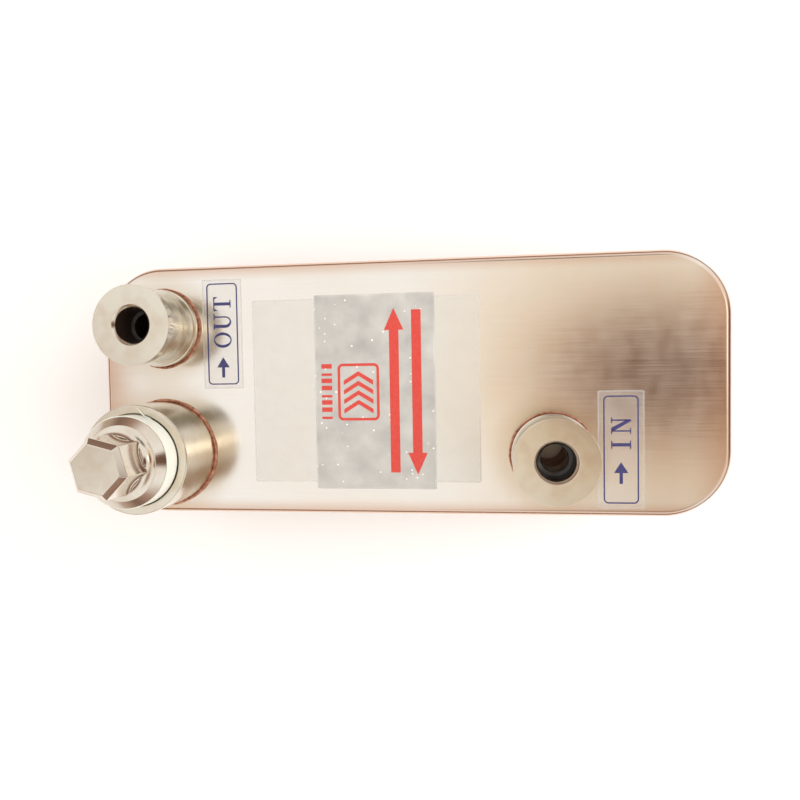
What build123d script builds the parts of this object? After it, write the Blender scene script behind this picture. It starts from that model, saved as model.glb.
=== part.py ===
from build123d import *
import math
import os

# Brazed plate heat exchanger, lying on its back with its fittings up.
# A pack of corrugated pan-shaped plates is closed by a front and a back cover and brazed with copper.
# Two refrigerant nozzles and a plugged water socket stand on the front cover. Two water sockets stand
# on the back cover, and the unit rests on their ends.
# Frame: millimetres, +X along the length, +Y across the width, +Z out of the front cover.
# Origin: under the middle of the plates, in the plane of the back sockets' ends.

# ---- overall size ----
LENGTH = 304.0  # outline of the front cover's rim
WIDTH = 124.0
CORNER_RADIUS = 31.0

# ---- plates ----
PLATE_COUNT = 20
PLATE_THICKNESS = 0.4
PLATE_PITCH = 2.4
PLATE_SKIRT_DEPTH = 6.0
PLATE_BEND_RADIUS = 1.5
COVER_THICKNESS = 1.5
COVER_SKIRT_DEPTH = 6.5
COVER_BEND_RADIUS = 3.0
SKIRT_GAP = 0.08  # between nested skirts, filled by braze only at the rims
SEAM_HEIGHT = 0.7

# ---- chevron corrugation ----
WAVE_LENGTH = 10.0
WAVE_CLEARANCE = 0.06  # between the crests of neighbouring plates
CHEVRON_ANGLE = 60.0  # degrees between the ridges and the length
WAVE_FIELD_MARGIN_X = 56.0  # from the rim's end to the corrugated field
WAVE_FIELD_MARGIN_Y = 10.0
FIELD_LAP = 0.4  # the corrugated field runs this far onto the flat border

# ---- ports ----
PORT_EDGE_INSET = 31.0  # port centres from the long edges
PORT_END_INSET = 32.5  # and from the ends
INLET_END_INSET = 81.0  # the refrigerant inlet is set inboard
INLET_EDGE_INSET = 30.0
PORT_RADIUS = 13.0
PORT_SEAT_RADIUS = 18.0  # outer radius of the flat seat round a port
PORT_CONE_RADIUS = 22.0  # where the seat's cone meets the flat web
BRAZE_THICKNESS = 0.2  # copper between two port seats
BRAZE_RING_MARGIN = 0.3
COVER_HOLE_RADIUS = 14.0

# ---- refrigerant nozzles ----
NOZZLE_HEIGHT = 33.0
NOZZLE_COLLAR_RADIUS = 18.6
NOZZLE_COLLAR_LENGTH = 4.6
NOZZLE_NECK_RADIUS = 16.0
NOZZLE_RING_RADIUS = 18.5
NOZZLE_RING_TOP = 12.0
NOZZLE_GROOVE_RADIUS = 17.6
NOZZLE_GROOVE_BOTTOM = 5.0
NOZZLE_GROOVE_WIDTH = 1.2
NOZZLE_BASE_RADIUS = 19.0
NOZZLE_EDGE = 0.6
TUBE_BORE_RADIUS = 8.0  # solder socket for a 16 mm tube
TUBE_BORE_DEPTH = 16.0
TUBE_MOUTH_RADIUS = 9.5
NOZZLE_PASSAGE_RADIUS = 6.25
SPIGOT_CLEARANCE = 0.1

# ---- plugged water socket ----
SOCKET_RADIUS = 25.5
SOCKET_HEIGHT = 33.0
SOCKET_EDGE = 0.8
THREAD_MAJOR_RADIUS = 20.95
THREAD_DEPTH = 24.0
THREAD_MOUTH = 0.7
WATER_PASSAGE_RADIUS = 13.0

# ---- port plug ----
THREAD_CLEARANCE = 0.35
PLUG_ENGAGED = 12.5  # threaded length inside the socket
PLUG_EXPOSED = 10.0  # threaded length standing out of the socket
PLUG_CHAMFER_HEIGHT = 3.0
PLUG_CHAMFER_RADIUS = 17.0
PLUG_TIP_CHAMFER = 1.2
HEX_ACROSS_FLATS = 24.0
HEX_HEIGHT = 20.0
HEX_BEVEL = 2.4
HEX_FOOT_HEIGHT = 4.4  # concave foot between the shoulder and the flats
HEX_FOOT_LAP = 0.4  # how far inside the flats the foot ends
HEX_TURN = 45.5  # degrees from +X to a corner
TAPE_CLEARANCE = 0.06
TAPE_THICKNESS = 0.4
TAPE_END_GAP = 0.3

# ---- back water sockets ----
BACK_SOCKET_RADIUS = 23.5
BACK_SOCKET_HEIGHT = 32.0
WATER_BORE_RADIUS = 14.05  # solder socket for a 28 mm tube
WATER_BORE_DEPTH = 20.0
WATER_MOUTH = 0.8

# ---- braze fillets round the fittings ----
FILLET_WIDTH_NOZZLE = 1.3
FILLET_WIDTH_SOCKET = 1.65
FILLET_HEIGHT = 1.2
FILLET_LIP = 0.15
HOLLOW = 0.3  # how far along its width and height the middle of a concave fillet lies

# ---- distributor tube in the refrigerant inlet ----
DISTRIBUTOR_RADIUS = 9.0
DISTRIBUTOR_WALL = 1.0
DISTRIBUTOR_HOLE_RADIUS = 0.7
DISTRIBUTOR_END_GAP = 0.3

# ---- labels ----
OUTLET_LABEL_SIZE = (20.4, 54.0)
OUTLET_LABEL_OFFSET = (31.0, -3.4)  # of its middle from the outlet nozzle's centre
INLET_LABEL_SIZE = (20.9, 54.8)
INLET_LABEL_OFFSET = (31.1, 2.0)  # of its middle from the inlet nozzle's centre
FILM_LABEL_GAP = 5.2  # from the outlet label to the backing film
FILM_NOZZLE_GAP = 13.9  # from the backing film to the inlet nozzle's base
FILM_EDGE_GAP = 17.4  # from the backing film to the long edges
FILM_SHIFT = -1.0  # of the film's middle across the width
RATING_WIDTH = 58.5
RATING_EDGE_GAP = 15.0  # from the rating label to the long edges
RATING_SHIFT = (5.0, -0.9)  # of the rating label's middle from the film's
FILM_THICKNESS = 0.06
LABEL_THICKNESS = 0.12

# ---- sizes that follow ----
FLARE = math.degrees(math.asin((PLATE_THICKNESS + SKIRT_GAP) / PLATE_PITCH))
SLOPE = math.tan(math.radians(FLARE))
LEAN = math.cos(math.radians(FLARE))
HALF_PITCH = PLATE_PITCH / 2
BACK_WEB_BACK = BACK_SOCKET_HEIGHT
BACK_WEB_FRONT = BACK_WEB_BACK + COVER_THICKNESS
FRONT_WEB_BACK = BACK_WEB_FRONT + PLATE_COUNT * PLATE_PITCH
FRONT_FACE = FRONT_WEB_BACK + COVER_THICKNESS
FRONT_RIM = FRONT_FACE - COVER_SKIRT_DEPTH
SEAT_RISE = HALF_PITCH - (PLATE_THICKNESS + BRAZE_THICKNESS) / 2
WAVE_RISE = (PLATE_PITCH - PLATE_THICKNESS - WAVE_CLEARANCE) / 2
SOCKET_FACE = FRONT_FACE + SOCKET_HEIGHT
PLUG_RADIUS = THREAD_MAJOR_RADIUS - THREAD_CLEARANCE
PLUG_SHOULDER = SOCKET_FACE + PLUG_EXPOSED

END_X = LENGTH / 2 - PORT_END_INSET
EDGE_Y = WIDTH / 2 - PORT_EDGE_INSET
REFRIGERANT_OUTLET = (-END_X, EDGE_Y)
REFRIGERANT_INLET = (LENGTH / 2 - INLET_END_INSET, INLET_EDGE_INSET - WIDTH / 2)
WATER_PLUGGED = (-END_X, -EDGE_Y)
WATER_FAR = (END_X, EDGE_Y)
REFRIGERANT_PORTS = (REFRIGERANT_OUTLET, REFRIGERANT_INLET)
WATER_PORTS = (WATER_PLUGGED, WATER_FAR)

OUTLET_LABEL = tuple(map(sum, zip(REFRIGERANT_OUTLET, OUTLET_LABEL_OFFSET)))
INLET_LABEL = tuple(map(sum, zip(REFRIGERANT_INLET, INLET_LABEL_OFFSET)))
FILM_START = OUTLET_LABEL[0] + OUTLET_LABEL_SIZE[0] / 2 + FILM_LABEL_GAP
FILM_END = REFRIGERANT_INLET[0] - NOZZLE_BASE_RADIUS - FILM_NOZZLE_GAP
FILM = ((FILM_START + FILM_END) / 2, FILM_SHIFT)
FILM_SIZE = (FILM_END - FILM_START, WIDTH - 2 * FILM_EDGE_GAP)
RATING = (FILM[0] + RATING_SHIFT[0], FILM[1] + RATING_SHIFT[1])
RATING_SIZE = (RATING_WIDTH, WIDTH - 2 * RATING_EDGE_GAP)


def at(place, z=0.0):
    """A location over a port centre at height z."""
    return Pos(place[0], place[1], z)


def turned(points):
    """A solid of revolution about Z from a closed outline of radius and height."""
    outline = make_face(Plane.XZ * Polyline(*points, close=True))
    return revolve(outline, Axis.Z)


def skirt_inset(z, plates_in):
    """Inset from the overall outline, at height z, of a skirt that has this many plates outside it."""
    inset = (z + plates_in * PLATE_PITCH - FRONT_RIM) * SLOPE
    return inset + (COVER_THICKNESS + SKIRT_GAP) / LEAN


def flared_block(rim_z, top_z, rim_inset):
    """A block with the plates' outline whose sides lean in from its rim to its top."""
    outline = RectangleRounded(LENGTH - 2 * rim_inset, WIDTH - 2 * rim_inset, CORNER_RADIUS - rim_inset)
    return extrude(Pos(0, 0, rim_z) * outline, amount=top_z - rim_z, taper=FLARE)


def pan(rim_z, top_z, rim_inset, thickness, bend_radius):
    """A flat plate with a soft bend all round and a flared skirt."""
    outer = flared_block(rim_z, top_z, rim_inset)
    outer = fillet(outer.edges().group_by(Axis.Z)[-1], bend_radius)
    inner = flared_block(rim_z, top_z - thickness, rim_inset + thickness / LEAN)
    inner = fillet(inner.edges().group_by(Axis.Z)[-1], bend_radius - thickness)
    return outer - inner


def front_cover():
    cover = pan(FRONT_RIM, FRONT_FACE, 0.0, COVER_THICKNESS, COVER_BEND_RADIUS)
    for place in (*REFRIGERANT_PORTS, WATER_PLUGGED):
        cover -= at(place, FRONT_FACE) * Cylinder(COVER_HOLE_RADIUS, 4 * COVER_THICKNESS)
    return cover


def back_cover():
    rim_z = BACK_WEB_FRONT - COVER_SKIRT_DEPTH
    rim_inset = skirt_inset(rim_z, PLATE_COUNT)
    cover = pan(rim_z, BACK_WEB_FRONT, rim_inset, COVER_THICKNESS, COVER_BEND_RADIUS)
    for place in WATER_PORTS:
        cover -= at(place, BACK_WEB_FRONT) * Cylinder(COVER_HOLE_RADIUS, 4 * COVER_THICKNESS)
    return cover


def wave_line(half_length):
    """Crests and troughs of a wave that covers at least the given half length on both sides of x = 0."""
    count = math.ceil(half_length / WAVE_LENGTH)
    line = []
    for i in range(-count, count):
        crest = (i + 0.25) * WAVE_LENGTH
        line += [(crest, WAVE_RISE), (crest + WAVE_LENGTH / 2, -WAVE_RISE)]
    return line


def chevron_field(direction):
    """The corrugated sheet about z = 0, its V pointing along +X or -X."""
    field_x = LENGTH / 2 - WAVE_FIELD_MARGIN_X + FIELD_LAP
    field_y = WIDTH / 2 - WAVE_FIELD_MARGIN_Y + FIELD_LAP
    lead = field_y / math.tan(math.radians(CHEVRON_ANGLE))
    line = wave_line(field_x + lead + WAVE_LENGTH)
    half = PLATE_THICKNESS / 2
    top = [(x, z + half) for x, z in line]
    bottom = [(x, z - half) for x, z in reversed(line)]
    section = make_face(Plane.XZ * Polyline(*top, *bottom, close=True))
    reach = math.hypot(lead, field_y)
    sheet = None
    for side in (-1, 1):
        run = Vector(-direction * lead, side * field_y, 0).normalized()
        flank = extrude(section, amount=reach, dir=run)
        sheet = flank if sheet is None else sheet + flank
    return sheet & Box(2 * field_x, 2 * field_y, PLATE_PITCH)


def port_seat(side):
    """A pressed seat round a port, above (+1) or below (-1) the web, and the cone that joins them."""
    half = PLATE_THICKNESS / 2
    lift = side * SEAT_RISE
    lower = [(PORT_RADIUS, lift - half), (PORT_SEAT_RADIUS, lift - half), (PORT_CONE_RADIUS, -half)]
    upper = [(PORT_CONE_RADIUS, half), (PORT_SEAT_RADIUS, lift + half), (PORT_RADIUS, lift + half)]
    return turned([*lower, *upper])


def channel_plate(number):
    """A channel plate about z = 0. Odd plates press the refrigerant seats up, and even plates down."""
    side = 1 if number % 2 else -1
    half = PLATE_THICKNESS / 2
    top_z = FRONT_WEB_BACK - HALF_PITCH + half
    rim_inset = skirt_inset(top_z - PLATE_SKIRT_DEPTH, 0)
    plate = pan(half - PLATE_SKIRT_DEPTH, half, rim_inset, PLATE_THICKNESS, PLATE_BEND_RADIUS)
    field_x = LENGTH / 2 - WAVE_FIELD_MARGIN_X
    field_y = WIDTH / 2 - WAVE_FIELD_MARGIN_Y
    plate -= Box(2 * field_x, 2 * field_y, PLATE_PITCH)
    plate += chevron_field(side)
    for ports, seat in ((REFRIGERANT_PORTS, port_seat(side)), (WATER_PORTS, port_seat(-side))):
        for place in ports:
            plate -= at(place) * Cylinder(PORT_CONE_RADIUS - half, PLATE_PITCH)
            plate += at(place) * seat
    return plate


def edge_seam(number):
    """The copper bead under the rim of the front cover (0) or of a channel plate, on the next skirt in."""
    if number == 0:
        rim_z = FRONT_RIM
        wall = COVER_THICKNESS
    else:
        rim_z = FRONT_WEB_BACK + PLATE_THICKNESS / 2 - (number - 0.5) * PLATE_PITCH - PLATE_SKIRT_DEPTH
        wall = PLATE_THICKNESS
    next_inset = skirt_inset(rim_z, number)
    inset = next_inset - (min(wall, PLATE_THICKNESS) + SKIRT_GAP) / LEAN
    narrowing = math.degrees(math.atan((next_inset - inset) / SEAM_HEIGHT - SLOPE))
    outline = RectangleRounded(LENGTH - 2 * inset, WIDTH - 2 * inset, CORNER_RADIUS - inset)
    bead = extrude(Pos(0, 0, rim_z) * outline, amount=-SEAM_HEIGHT, taper=narrowing)
    below = rim_z - 2 * SEAM_HEIGHT
    return bead - flared_block(below, rim_z + SEAM_HEIGHT, skirt_inset(below, number))


def port_braze(ports, first):
    """Copper rings between the sealed port seats of one circuit, from interface number first on."""
    rings = []
    for i in range(first, PLATE_COUNT + 1, 2):
        level = FRONT_WEB_BACK - i * PLATE_PITCH
        top = level if i == 0 else level + BRAZE_THICKNESS / 2
        bottom = level if i == PLATE_COUNT else level - BRAZE_THICKNESS / 2
        inner = PORT_RADIUS + BRAZE_RING_MARGIN
        outer = PORT_SEAT_RADIUS - BRAZE_RING_MARGIN
        ring = turned([(inner, bottom), (outer, bottom), (outer, top), (inner, top)])
        rings += [at(place) * ring for place in ports]
    return Compound(children=rings)


def nozzle():
    """A solder nozzle about z = 0 at the cover's face, with a spigot that fills the cover's hole."""
    spigot = COVER_HOLE_RADIUS - SPIGOT_CLEARANCE
    groove_top = NOZZLE_GROOVE_BOTTOM + NOZZLE_GROOVE_WIDTH
    collar_bottom = NOZZLE_HEIGHT - NOZZLE_COLLAR_LENGTH
    mouth = TUBE_MOUTH_RADIUS - TUBE_BORE_RADIUS
    foot = [(NOZZLE_PASSAGE_RADIUS, -COVER_THICKNESS), (spigot, -COVER_THICKNESS), (spigot, 0)]
    base = [(NOZZLE_BASE_RADIUS, 0), (NOZZLE_BASE_RADIUS, NOZZLE_GROOVE_BOTTOM)]
    groove = [(NOZZLE_GROOVE_RADIUS, NOZZLE_GROOVE_BOTTOM), (NOZZLE_GROOVE_RADIUS, groove_top)]
    ring = [(NOZZLE_RING_RADIUS, groove_top), (NOZZLE_RING_RADIUS, NOZZLE_RING_TOP - NOZZLE_EDGE)]
    neck_foot = [(NOZZLE_RING_RADIUS - NOZZLE_EDGE, NOZZLE_RING_TOP), (NOZZLE_NECK_RADIUS, NOZZLE_RING_TOP)]
    neck_top = [(NOZZLE_NECK_RADIUS, collar_bottom), (NOZZLE_COLLAR_RADIUS, collar_bottom)]
    side = (NOZZLE_COLLAR_RADIUS, NOZZLE_HEIGHT - NOZZLE_EDGE)
    rim = [side, (NOZZLE_COLLAR_RADIUS - NOZZLE_EDGE, NOZZLE_HEIGHT)]
    bore = [(TUBE_MOUTH_RADIUS, NOZZLE_HEIGHT), (TUBE_BORE_RADIUS, NOZZLE_HEIGHT - mouth)]
    floor = NOZZLE_HEIGHT - TUBE_BORE_DEPTH
    step = [(TUBE_BORE_RADIUS, floor), (NOZZLE_PASSAGE_RADIUS, floor)]
    return turned([*foot, *base, *groove, *ring, *neck_foot, *neck_top, *rim, *bore, *step])


def plugged_socket():
    """The threaded water socket about z = 0 at the cover's face."""
    floor = SOCKET_HEIGHT - THREAD_DEPTH
    spigot = COVER_HOLE_RADIUS - SPIGOT_CLEARANCE
    foot = [(WATER_PASSAGE_RADIUS, -COVER_THICKNESS), (spigot, -COVER_THICKNESS), (spigot, 0)]
    side = [(SOCKET_RADIUS, 0), (SOCKET_RADIUS, SOCKET_HEIGHT - SOCKET_EDGE)]
    end = [(SOCKET_RADIUS - SOCKET_EDGE, SOCKET_HEIGHT), (THREAD_MAJOR_RADIUS + THREAD_MOUTH, SOCKET_HEIGHT)]
    bore = [(THREAD_MAJOR_RADIUS, SOCKET_HEIGHT - THREAD_MOUTH), (THREAD_MAJOR_RADIUS, floor)]
    return turned([*foot, *side, *end, *bore, (WATER_PASSAGE_RADIUS, floor)])


def back_socket():
    """A plain water socket that hangs from z = 0 at the back cover's back."""
    spigot = COVER_HOLE_RADIUS - SPIGOT_CLEARANCE
    end = -BACK_SOCKET_HEIGHT
    step = end + WATER_BORE_DEPTH
    foot = [(WATER_PASSAGE_RADIUS, COVER_THICKNESS), (spigot, COVER_THICKNESS), (spigot, 0)]
    side = [(BACK_SOCKET_RADIUS, 0), (BACK_SOCKET_RADIUS, end + SOCKET_EDGE)]
    rim = [(BACK_SOCKET_RADIUS - SOCKET_EDGE, end), (WATER_BORE_RADIUS + WATER_MOUTH, end)]
    bore = [(WATER_BORE_RADIUS, end + WATER_MOUTH), (WATER_BORE_RADIUS, step)]
    return turned([*foot, *side, *rim, *bore, (WATER_PASSAGE_RADIUS, step)])


def braze_fillet(radius, width, side):
    """A concave copper fillet round a fitting, standing up (+1) or hanging down (-1) from z = 0."""
    lip = (radius + width, side * FILLET_LIP)
    top = (radius, side * FILLET_HEIGHT)
    middle = (radius + HOLLOW * width, side * (FILLET_LIP + HOLLOW * (FILLET_HEIGHT - FILLET_LIP)))
    outline = Polyline(top, (radius, 0), (radius + width, 0), lip) + ThreePointArc(lip, middle, top)
    return revolve(make_face(Plane.XZ * outline), Axis.Z)


def port_plug():
    """The hexagon plug in the threaded socket."""
    tip = SOCKET_FACE - PLUG_ENGAGED
    crown = PLUG_SHOULDER + PLUG_CHAMFER_HEIGHT
    bottom = [(0, tip), (PLUG_RADIUS - PLUG_TIP_CHAMFER, tip), (PLUG_RADIUS, tip + PLUG_TIP_CHAMFER)]
    shoulder = [(PLUG_RADIUS, PLUG_SHOULDER), (PLUG_CHAMFER_RADIUS, crown), (0, crown)]
    shank = turned([*bottom, *shoulder])
    hexagon = RegularPolygon(HEX_ACROSS_FLATS / 2, 6, major_radius=False, rotation=HEX_TURN)
    head = extrude(Pos(0, 0, crown) * hexagon, amount=HEX_HEIGHT)
    head = chamfer(head.edges().group_by(Axis.Z)[-1], HEX_BEVEL)
    foot_top = (HEX_ACROSS_FLATS / 2 - HEX_FOOT_LAP, crown + HEX_FOOT_HEIGHT)
    foot_rim = (PLUG_CHAMFER_RADIUS, crown)
    middle = (foot_top[0] + HOLLOW * (foot_rim[0] - foot_top[0]), crown + HOLLOW * HEX_FOOT_HEIGHT)
    outline = Polyline(foot_top, (0, foot_top[1]), (0, crown), foot_rim)
    outline += ThreePointArc(foot_rim, middle, foot_top)
    foot = revolve(make_face(Plane.XZ * outline), Axis.Z)
    return shank + foot + head


def thread_tape():
    """The band of thread-seal tape on the plug's exposed thread."""
    inner = PLUG_RADIUS + TAPE_CLEARANCE
    outer = inner + TAPE_THICKNESS
    bottom = SOCKET_FACE + TAPE_END_GAP
    top = PLUG_SHOULDER - TAPE_END_GAP
    return turned([(inner, bottom), (outer, bottom), (outer, top), (inner, top)])


def distributor():
    """The perforated tube that spreads refrigerant over the channels."""
    bottom = BACK_WEB_FRONT + DISTRIBUTOR_END_GAP
    top = FRONT_WEB_BACK - DISTRIBUTOR_END_GAP
    inner = DISTRIBUTOR_RADIUS - DISTRIBUTOR_WALL
    tube = turned([(inner, bottom), (DISTRIBUTOR_RADIUS, bottom), (DISTRIBUTOR_RADIUS, top), (inner, top)])
    for i in range(1, PLATE_COUNT, 2):
        level = FRONT_WEB_BACK - i * PLATE_PITCH
        hole = Rot(0, 90, 0) * Cylinder(DISTRIBUTOR_HOLE_RADIUS, 2 * DISTRIBUTOR_RADIUS)
        tube -= Pos(-DISTRIBUTOR_RADIUS, 0, level) * hole
    return at(REFRIGERANT_INLET) * tube


def sticker(middle, size, thickness):
    """A thin rectangular label on the front cover's face."""
    return at(middle, FRONT_FACE + thickness / 2) * Box(*size, thickness)


def rating_label():
    """The rating label, lying on the film and lapping onto the cover at its ends."""
    label = sticker(RATING, RATING_SIZE, FILM_THICKNESS + LABEL_THICKNESS)
    return label - sticker(FILM, FILM_SIZE, FILM_THICKNESS)


def build_nodes():
    nozzle_fillet = braze_fillet(NOZZLE_BASE_RADIUS, FILLET_WIDTH_NOZZLE, 1)
    socket_fillet = braze_fillet(SOCKET_RADIUS, FILLET_WIDTH_SOCKET, 1)
    back_fillet = braze_fillet(BACK_SOCKET_RADIUS, FILLET_WIDTH_SOCKET, -1)
    nodes = {
        "front_cover_plate": front_cover(),
        "back_cover_plate": back_cover(),
        "edge_braze_seams": Compound(children=[edge_seam(i) for i in range(PLATE_COUNT + 1)]),
        "refrigerant_port_braze": port_braze(REFRIGERANT_PORTS, 0),
        "water_port_braze": port_braze(WATER_PORTS, 1),
        "refrigerant_outlet_nozzle": at(REFRIGERANT_OUTLET, FRONT_FACE) * nozzle(),
        "refrigerant_inlet_nozzle": at(REFRIGERANT_INLET, FRONT_FACE) * nozzle(),
        "refrigerant_outlet_braze": at(REFRIGERANT_OUTLET, FRONT_FACE) * nozzle_fillet,
        "refrigerant_inlet_braze": at(REFRIGERANT_INLET, FRONT_FACE) * nozzle_fillet,
        "plugged_water_socket": at(WATER_PLUGGED, FRONT_FACE) * plugged_socket(),
        "plugged_socket_braze": at(WATER_PLUGGED, FRONT_FACE) * socket_fillet,
        "water_inlet_socket": at(WATER_PLUGGED, BACK_WEB_BACK) * back_socket(),
        "water_inlet_braze": at(WATER_PLUGGED, BACK_WEB_BACK) * back_fillet,
        "water_outlet_socket": at(WATER_FAR, BACK_WEB_BACK) * back_socket(),
        "water_outlet_braze": at(WATER_FAR, BACK_WEB_BACK) * back_fillet,
        "inlet_distributor_tube": distributor(),
        "port_plug": at(WATER_PLUGGED) * port_plug(),
        "thread_seal_tape": at(WATER_PLUGGED) * thread_tape(),
        "backing_film": sticker(FILM, FILM_SIZE, FILM_THICKNESS),
        "rating_label": rating_label(),
        "outlet_label": sticker(OUTLET_LABEL, OUTLET_LABEL_SIZE, LABEL_THICKNESS),
        "inlet_label": sticker(INLET_LABEL, INLET_LABEL_SIZE, LABEL_THICKNESS),
    }
    kinds = {1: channel_plate(1), 0: channel_plate(2)}
    for number in range(1, PLATE_COUNT + 1):
        level = FRONT_WEB_BACK - (number - 0.5) * PLATE_PITCH
        nodes[f"channel_plate_{number:02d}"] = Pos(0, 0, level) * kinds[number % 2]
    return nodes


os.makedirs("parts", exist_ok=True)
for name, shape in build_nodes().items():
    export_step(shape, f"parts/{name}.step", write_pcurves=False)
    print(name, len(shape.solids()), round(shape.volume, 1))
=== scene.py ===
# %% [markdown]
# # A brazed plate heat exchanger
# The object is a pack of pressed stainless plates between two thicker covers, brazed together with copper.
# Its frame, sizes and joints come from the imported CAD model, which is loaded first and never moved. The
# plates inside stay as CAD made them and get finishes. What the eye rests on (the front cover, the turned
# fittings, the plug, the tape and the labels) is modelled again here with rounded edges, in the same places.

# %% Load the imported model
import math
import random

import bpy
from mathutils import Matrix, Vector


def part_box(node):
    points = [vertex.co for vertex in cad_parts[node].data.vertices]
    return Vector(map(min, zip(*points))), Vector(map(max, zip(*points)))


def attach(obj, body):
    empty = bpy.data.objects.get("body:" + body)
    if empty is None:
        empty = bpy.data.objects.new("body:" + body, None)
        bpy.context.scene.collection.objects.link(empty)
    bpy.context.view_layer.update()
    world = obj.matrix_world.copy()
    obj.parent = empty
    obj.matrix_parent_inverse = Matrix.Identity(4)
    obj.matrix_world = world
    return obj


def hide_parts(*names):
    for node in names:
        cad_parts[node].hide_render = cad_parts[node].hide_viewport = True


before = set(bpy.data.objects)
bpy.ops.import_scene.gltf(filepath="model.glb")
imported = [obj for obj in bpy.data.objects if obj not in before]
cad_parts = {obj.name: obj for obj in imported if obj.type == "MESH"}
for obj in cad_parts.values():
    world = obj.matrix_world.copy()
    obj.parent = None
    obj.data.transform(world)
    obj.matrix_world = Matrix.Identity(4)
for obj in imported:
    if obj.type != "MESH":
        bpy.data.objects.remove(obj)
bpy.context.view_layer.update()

# %% [markdown]
# ## Units and helpers
# Blender works in metres and a machinist in millimetres, so sizes are written in millimetres and turned
# into metres by MM. A few helpers keep the later cells short: one clears the selection, because an operator
# acts on all that is selected, and one moves a finished object's place into its mesh.

# %% Units and helpers
MM = 0.001


def deselect():
    """Leave no object selected."""
    bpy.ops.object.select_all(action="DESELECT")


def activate(obj):
    """Make one object the only selected and active one."""
    deselect()
    obj.select_set(True)
    bpy.context.view_layer.objects.active = obj


def bake_place(obj):
    """Move the object's place into its mesh, so that the object sits at the origin."""
    activate(obj)
    bpy.ops.object.transform_apply(location=True, rotation=True, scale=True)


def apply_modifier(obj, kind, **settings):
    """Add one modifier with its settings and apply it."""
    activate(obj)
    modifier = obj.modifiers.new(kind.title(), kind)
    for key, value in settings.items():
        setattr(modifier, key, value)
    bpy.ops.object.modifier_apply(modifier=modifier.name)


def smooth(obj, angle=35):
    """Smooth shading that breaks at sharp edges; weighted normals keep the large faces truly flat."""
    activate(obj)
    bpy.ops.object.shade_smooth_by_angle(angle=math.radians(angle))
    apply_modifier(obj, "WEIGHTED_NORMAL", keep_sharp=True, weight=100)


def place_piece(obj, body, material, slot, *nodes):
    """Give a finished piece its material, its body and the CAD nodes that it stands for. The slot is not
    used.
    """
    bake_place(obj)
    obj.data.materials.clear()
    obj.data.materials.append(material)
    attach(obj, body)
    if nodes:
        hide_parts(*nodes)
    return obj


# %% [markdown]
# ## Where things are
# Every place is read from the CAD nodes' boxes. The middle of a fitting's box is its axis, and the front
# cover's highest point is the face that all the front fittings stand on.

# %% Places from the frame
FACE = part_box("front_cover_plate")[1].z
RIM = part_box("front_cover_plate")[0].z
HALF_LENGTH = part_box("front_cover_plate")[1].x
HALF_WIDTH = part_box("front_cover_plate")[1].y


def axis_of(node):
    """The middle of a node's box, as x and y."""
    low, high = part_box(node)
    return (low.x + high.x) / 2, (low.y + high.y) / 2


OUTLET = axis_of("refrigerant_outlet_nozzle")
INLET = axis_of("refrigerant_inlet_nozzle")
PLUGGED = axis_of("plugged_water_socket")
FAR = axis_of("water_outlet_socket")
SOCKET_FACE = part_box("plugged_water_socket")[1].z
print("front face at", round(FACE / MM, 2), "mm, socket face at", round(SOCKET_FACE / MM, 2), "mm")

# %% [markdown]
# ## Camera
# The unit lies on its back and the camera looks down on it from about a forearm's length, a little right of
# the middle. So near, the tall fittings at the left lean outwards. The three small turns are the camera's
# own tilts about its axes.

# %% Camera
CAMERA_OVER_FACE = 348.5 * MM
CAMERA_X = 50.8 * MM
CAMERA_Y = 8.3 * MM
CAMERA_TURNS = (0.041, -0.1457, 0.0108)  # radians, about X, then Y, then Z
LENS_MM = 33.1

bpy.ops.object.camera_add(location=(CAMERA_X, CAMERA_Y, FACE + CAMERA_OVER_FACE))
camera = bpy.context.object
turn = Matrix.Rotation(CAMERA_TURNS[2], 4, "Z") @ Matrix.Rotation(CAMERA_TURNS[1], 4, "Y")
turn = turn @ Matrix.Rotation(CAMERA_TURNS[0], 4, "X")
camera.matrix_world = Matrix.Translation(camera.location) @ turn.transposed()
camera.data.lens = LENS_MM
camera.data.sensor_width = 36.0
camera.data.clip_start = 0.01
bpy.context.scene.camera = camera

# %% [markdown]
# ## Colour and nodes
# Colours are written as sRGB hex, as a picker shows them, and one function turns them to the linear values
# that the renderer works in. One small function adds a node, sets its values and makes its links.

# %% Colour and node helpers


def linear(code):
    """sRGB hex to a linear RGBA colour."""
    parts = [int(code[i : i + 2], 16) / 255 for i in (1, 3, 5)]
    return (*[c / 12.92 if c <= 0.04045 else ((c + 0.055) / 1.055) ** 2.4 for c in parts], 1.0)


def add(tree, kind, values=None, links=None, **settings):
    """Add a node: settings are its own, values fill sockets by name or number, and links feed them."""
    node = tree.nodes.new(kind)
    for key, value in settings.items():
        setattr(node, key, value)
    for key, value in (values or {}).items():
        node.inputs[key].default_value = value
    for key, source in (links or {}).items():
        tree.links.new(source, node.inputs[key])
    return node


def ramp(tree, factor, *stops):
    """A colour ramp from (position, colour) stops."""
    node = add(tree, "ShaderNodeValToRGB", links={"Fac": factor})
    while len(node.color_ramp.elements) < len(stops):
        node.color_ramp.elements.new(0.5)
    for element, (position, colour) in zip(node.color_ramp.elements, stops):
        element.position = position
        element.color = colour
    return node.outputs["Color"]


def new_material(name):
    """An empty node material with a Principled shader, its tree and that shader."""
    material = bpy.data.materials.new(name)
    material.use_nodes = True
    return material, material.node_tree, material.node_tree.nodes["Principled BSDF"]


def object_point(tree, centre=(0, 0)):
    """Object coordinates, moved so that a piece's own axis is at zero."""
    point = add(tree, "ShaderNodeTexCoord").outputs["Object"]
    moved = add(tree, "ShaderNodeVectorMath", {1: (-centre[0], -centre[1], 0)}, {0: point}, operation="ADD")
    return moved.outputs["Vector"]


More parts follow.
